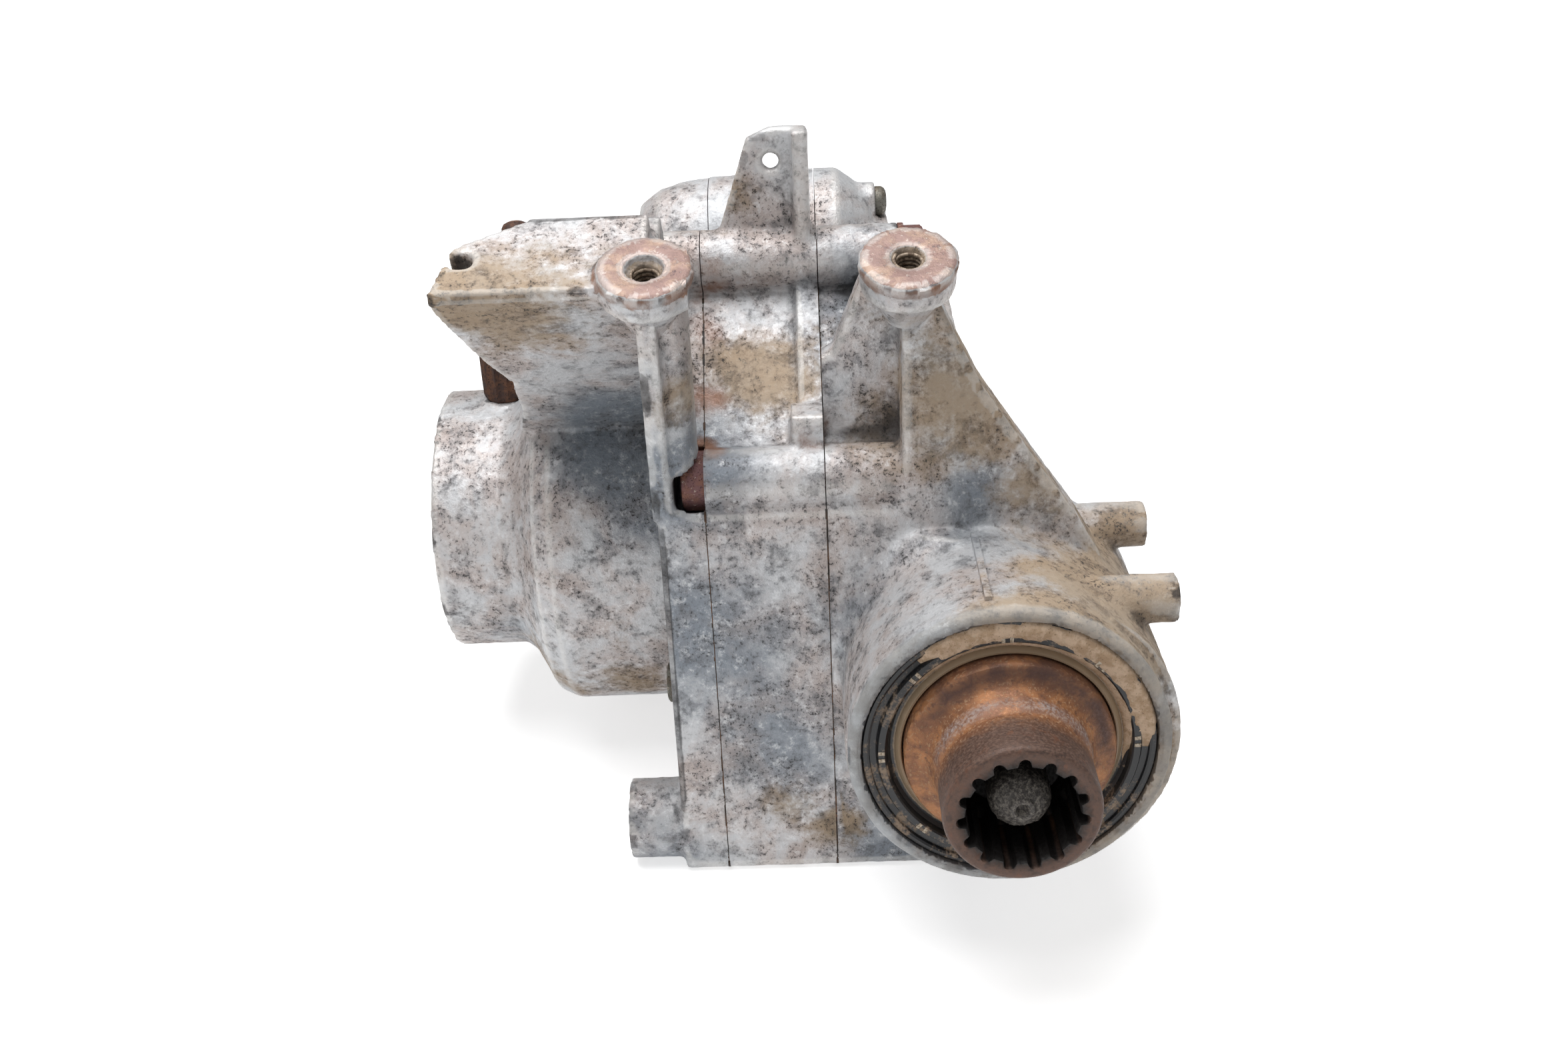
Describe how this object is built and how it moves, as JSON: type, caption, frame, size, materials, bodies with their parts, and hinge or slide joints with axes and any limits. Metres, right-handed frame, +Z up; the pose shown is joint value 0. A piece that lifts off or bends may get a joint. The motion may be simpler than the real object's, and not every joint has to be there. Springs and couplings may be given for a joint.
{
  "type": "front differential",
  "caption": "Cast aluminium front differential with a splined input coupler, ring and pinion, two-spider carrier and two axle outputs.",
  "frame": {"origin": "on the axle axis where the pinion axis crosses it, inside the right output's pilot bore", "axes": "+X along the axle towards the right output, -Y along the pinion out of the splined input, +Z up from the flat base"},
  "size_m": [0.1975, 0.238, 0.194],
  "materials": {
    "casting": "weathered sand casting",
    "gasket_paper": "matt",
    "seal_rubber": "satin",
    "rusted_steel": "rusted",
    "rusted_bolt": "rusted",
    "fastener_steel": "dull zinc",
    "bearing_steel": "ground",
    "gear_steel": "oiled"
  },
  "bodies": {
    "housing": {"left_case": "casting", "centre_case": "casting", "right_case": "casting", "left_gasket": "gasket_paper", "right_gasket": "gasket_paper", "pinion_seal": "seal_rubber", "left_axle_seal": "seal_rubber", "right_axle_seal": "seal_rubber", "pinion_front_bearing_outer_ring": "bearing_steel", "pinion_front_bearing_rollers": "bearing_steel", "pinion_rear_bearing_outer_ring": "bearing_steel", "pinion_rear_bearing_rollers": "bearing_steel", "carrier_left_bearing_outer_ring": "bearing_steel", "carrier_left_bearing_rollers": "bearing_steel", "carrier_right_bearing_outer_ring": "bearing_steel", "carrier_right_bearing_rollers": "bearing_steel", "output_bearing_outer_ring": "bearing_steel", "output_bearing_rollers": "bearing_steel", "bearing_spacer": "bearing_steel", "pinion_snap_ring": "fastener_steel", "output_snap_ring": "fastener_steel", "cover_bolts": "fastener_steel", "clamp_bolts": "rusted_bolt", "clamp_washers": "rusted_bolt", "chin_bolt": "rusted_bolt", "dowel_pins": "fastener_steel", "fill_plug": "fastener_steel", "drain_plug": "fastener_steel", "plug_washers": "fastener_steel", "vent_cap": "fastener_steel", "ribbed_plug": "rusted_steel", "arm_plug": "rusted_steel"},
    "carrier": {"diff_carrier": "gear_steel", "carrier_cap": "gear_steel", "cap_bolts": "fastener_steel", "ring_gear": "gear_steel", "ring_bolts": "fastener_steel", "cross_pin": "gear_steel", "cross_pin_lock": "gear_steel", "carrier_left_bearing_inner_ring": "bearing_steel", "carrier_right_bearing_inner_ring": "bearing_steel", "left_thrust_washer": "gear_steel", "right_thrust_washer": "gear_steel", "spider_washers": "gear_steel"},
    "pinion": {"pinion_shaft": "rusted_steel", "input_coupler": "rusted_steel", "pinion_front_bearing_inner_ring": "bearing_steel", "pinion_rear_bearing_inner_ring": "bearing_steel", "inner_spacer": "bearing_steel"},
    "left_output": {"left_side_gear": "gear_steel", "left_output_shaft": "gear_steel", "output_bearing_inner_ring": "bearing_steel"},
    "right_output": {"right_side_gear": "gear_steel"},
    "spider_top": {"spider_gear_top": "gear_steel"},
    "spider_bottom": {"spider_gear_bottom": "gear_steel"}
  },
  "joints": [
    {"name": "carrier_spin", "type": "hinge", "parent": "housing", "child": "carrier", "pos_m": [0, 0, 0], "axis": [1, 0, 0], "continuous": true},
    {"name": "pinion_spin", "type": "hinge", "parent": "housing", "child": "pinion", "pos_m": [0, 0, 0], "axis": [0, 1, 0], "continuous": true},
    {"name": "left_output_spin", "type": "hinge", "parent": "carrier", "child": "left_output", "pos_m": [-0.065, 0, 0], "axis": [1, 0, 0], "continuous": true},
    {"name": "right_output_spin", "type": "hinge", "parent": "carrier", "child": "right_output", "pos_m": [-0.065, 0, 0], "axis": [1, 0, 0], "continuous": true},
    {"name": "spider_top_spin", "type": "hinge", "parent": "carrier", "child": "spider_top", "pos_m": [-0.065, 0, 0], "axis": [0, 0, 1], "continuous": true},
    {"name": "spider_bottom_spin", "type": "hinge", "parent": "carrier", "child": "spider_bottom", "pos_m": [-0.065, 0, 0], "axis": [0, 0, 1], "continuous": true}
  ],
  "couplings": [
    {"joint": "pinion_spin", "follows": "carrier_spin", "ratio": -3},
    {"joint": "right_output_spin", "follows": "left_output_spin", "ratio": -1},
    {"joint": "spider_top_spin", "follows": "left_output_spin", "ratio": 1.4},
    {"joint": "spider_bottom_spin", "follows": "left_output_spin", "ratio": -1.4}
  ]
}
